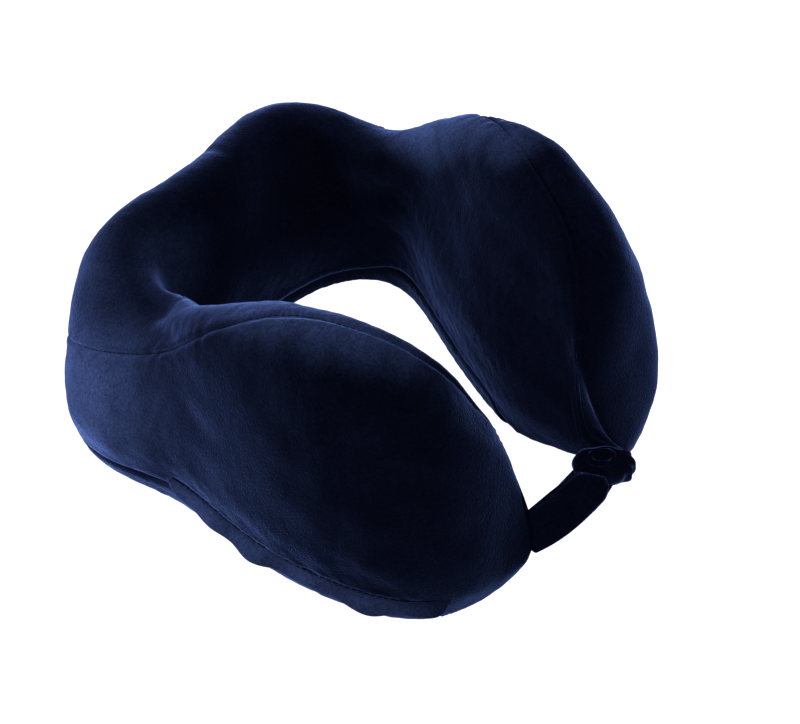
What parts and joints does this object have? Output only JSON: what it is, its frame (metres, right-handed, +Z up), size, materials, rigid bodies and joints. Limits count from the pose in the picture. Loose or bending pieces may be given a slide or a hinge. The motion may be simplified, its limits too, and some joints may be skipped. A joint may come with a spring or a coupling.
{
  "type": "u shaped neck pillow",
  "caption": "U-shaped memory-foam travel neck pillow in a zipped velour cover, with high side lobes, flexing arms and a snap strap across the front.",
  "frame": {"origin": "middle of the outline's box, on the surface that the pillow lies on", "axes": "+Z up; the neck opening and the strap are at -Y, the rear of the neck at +Y; the arm with the zip is at -X"},
  "size_m": [0.259, 0.2925, 0.1518],
  "materials": {
    "velour": "short-pile navy velour, matt with a soft sheen",
    "velour_base": "the same navy velour on the base panel, with the pile brushed lighter",
    "memory_foam": "cream slow-recovery foam, matt",
    "thread": "navy sewing thread",
    "zip_tape": "woven navy polyester tape",
    "zip_coil": "dark nylon coil",
    "zip_metal": "dark enamelled zinc",
    "snap_metal": "dark plated brass"
  },
  "bodies": {
    "rear": {"foam_core_rear": "memory_foam", "cover_top_rear": "velour", "cover_outer_rear": "velour", "cover_base_rear": "velour_base", "seam_thread_rear": "thread"},
    "arm_left": {"foam_core_left_arm": "memory_foam", "cover_top_left_arm": "velour", "cover_outer_left_arm": "velour", "cover_base_left_arm": "velour_base", "seam_thread_left_arm": "thread", "zipper_tape_upper": "zip_tape", "zipper_tape_lower": "zip_tape", "zipper_coil_upper": "zip_coil", "zipper_coil_lower": "zip_coil", "zipper_rear_stop": "zip_metal", "zipper_front_stop": "zip_metal"},
    "arm_right": {"foam_core_right_arm": "memory_foam", "cover_top_right_arm": "velour", "cover_outer_right_arm": "velour", "cover_base_right_arm": "velour_base", "seam_thread_right_arm": "thread"},
    "zipper_slider": {"zipper_slider": "zip_metal"},
    "zipper_pull": {"zipper_pull": "zip_metal"},
    "strap": {"strap_band": "velour", "snap_cap": "snap_metal", "snap_socket": "snap_metal"},
    "strap_tab": {"strap_tab": "velour", "snap_stud": "snap_metal", "snap_rivet": "snap_metal"}
  },
  "joints": [
    {"name": "arm_left_bend", "type": "hinge", "parent": "rear", "child": "arm_left", "pos_m": [-0.13038, 0.07138, 0], "axis": [0, 0, -1], "range_deg": [0, 20], "stiffness_Nm_per_rad": 3},
    {"name": "arm_right_bend", "type": "hinge", "parent": "rear", "child": "arm_right", "pos_m": [0.13038, 0.07138, 0], "axis": [0, 0, 1], "range_deg": [0, 20], "stiffness_Nm_per_rad": 3},
    {"name": "zipper_slide", "type": "hinge", "parent": "arm_left", "child": "zipper_slider", "pos_m": [0.0903, -0.0209, 0.016], "axis": [0, 0, -1], "range_deg": [0, 25]},
    {"name": "zipper_pull_swing", "type": "hinge", "parent": "zipper_slider", "child": "zipper_pull", "pos_m": [-0.11163, -0.09841, 0.016], "axis": [0, 0, 1], "range_deg": [0, 150]},
    {"name": "strap_open", "type": "hinge", "parent": "arm_left", "child": "strap", "pos_m": [-0.03675, -0.1337, 0.0225], "axis": [-0.2516, -0.9678, 0], "range_deg": [0, 32]},
    {"name": "strap_tab_flex", "type": "hinge", "parent": "arm_right", "child": "strap_tab", "pos_m": [0.03675, -0.1337, 0.0135], "axis": [0.2516, -0.9678, 0], "range_deg": [0, 12], "stiffness_Nm_per_rad": 0.02}
  ]
}
